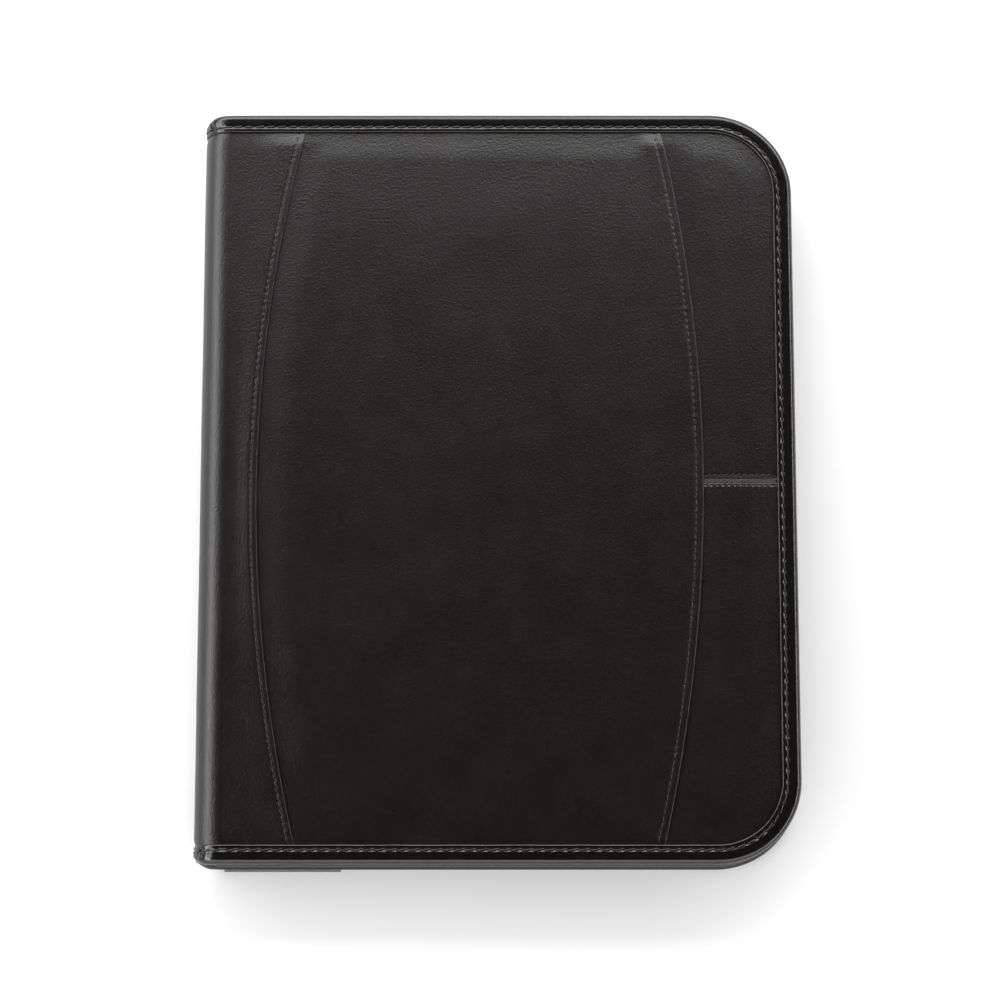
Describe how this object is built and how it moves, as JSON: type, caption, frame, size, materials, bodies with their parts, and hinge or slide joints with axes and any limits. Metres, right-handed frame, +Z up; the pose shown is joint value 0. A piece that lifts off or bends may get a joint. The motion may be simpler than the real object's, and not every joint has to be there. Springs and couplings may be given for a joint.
{
  "type": "portfolio case",
  "caption": "Letter-size bound-edge leather padfolio, closed: a book-like case with a padded, seamed front cover, a rounded spine, inside pockets and a writing pad.",
  "frame": {"origin": "centre of the footprint, on the surface that the closed case lies on", "axes": "+Z up, out of the front cover; the spine runs along Y at the -X side and the fore edge is at +X; +Y is the top of a page"},
  "size_m": [0.248, 0.3188, 0.024],
  "materials": {
    "black_leather": "smooth, fine grain, satin",
    "binding_leather": "smooth, semi-gloss",
    "lining_fabric": "matt twill",
    "elastic": "ribbed elastic",
    "grey_board": "matt greyboard",
    "foam": "matt foam",
    "paper": "matt ruled paper",
    "tape": "matt cloth tape"
  },
  "bodies": {
    "back_cover": {"back_outer_leather": "black_leather", "back_board": "grey_board", "back_lining": "lining_fabric", "back_binding": "binding_leather", "back_binding_overlap": "binding_leather", "pad_pocket_panel": "lining_fabric", "pad_pocket_hem": "binding_leather"},
    "spine": {"spine_outer_leather": "black_leather", "spine_stiffener": "grey_board", "spine_lining": "lining_fabric", "spine_binding_top": "binding_leather", "spine_binding_bottom": "binding_leather", "pen_loop": "elastic"},
    "front_cover": {"front_board": "grey_board", "front_lining": "lining_fabric", "front_binding": "binding_leather", "front_spine_side_panel": "black_leather", "front_center_panel": "black_leather", "front_upper_side_panel": "black_leather", "front_lower_side_panel": "black_leather", "front_center_foam": "foam", "front_side_foam": "foam", "document_pocket_panel": "lining_fabric", "document_pocket_hem": "binding_leather", "card_pocket_1": "black_leather", "card_pocket_2": "black_leather", "card_pocket_3": "black_leather"},
    "writing_pad": {"pad_backing_board": "grey_board", "pad_paper_block": "paper", "pad_top_tape": "tape"}
  },
  "joints": [
    {"name": "spine_fold", "type": "hinge", "parent": "back_cover", "child": "spine", "pos_m": [-0.11185, 0, 0], "axis": [0, -1, 0], "range_deg": [0, 90]},
    {"name": "front_fold", "type": "hinge", "parent": "spine", "child": "front_cover", "pos_m": [-0.11185, 0, 0.024], "axis": [0, -1, 0], "range_deg": [0, 90]},
    {"name": "pad_slide", "type": "slide", "parent": "back_cover", "child": "writing_pad", "axis": [0, 1, 0], "range_m": [0, 0.24]}
  ],
  "couplings": [
    {"joint": "spine_fold", "follows": "front_fold", "ratio": 1}
  ]
}
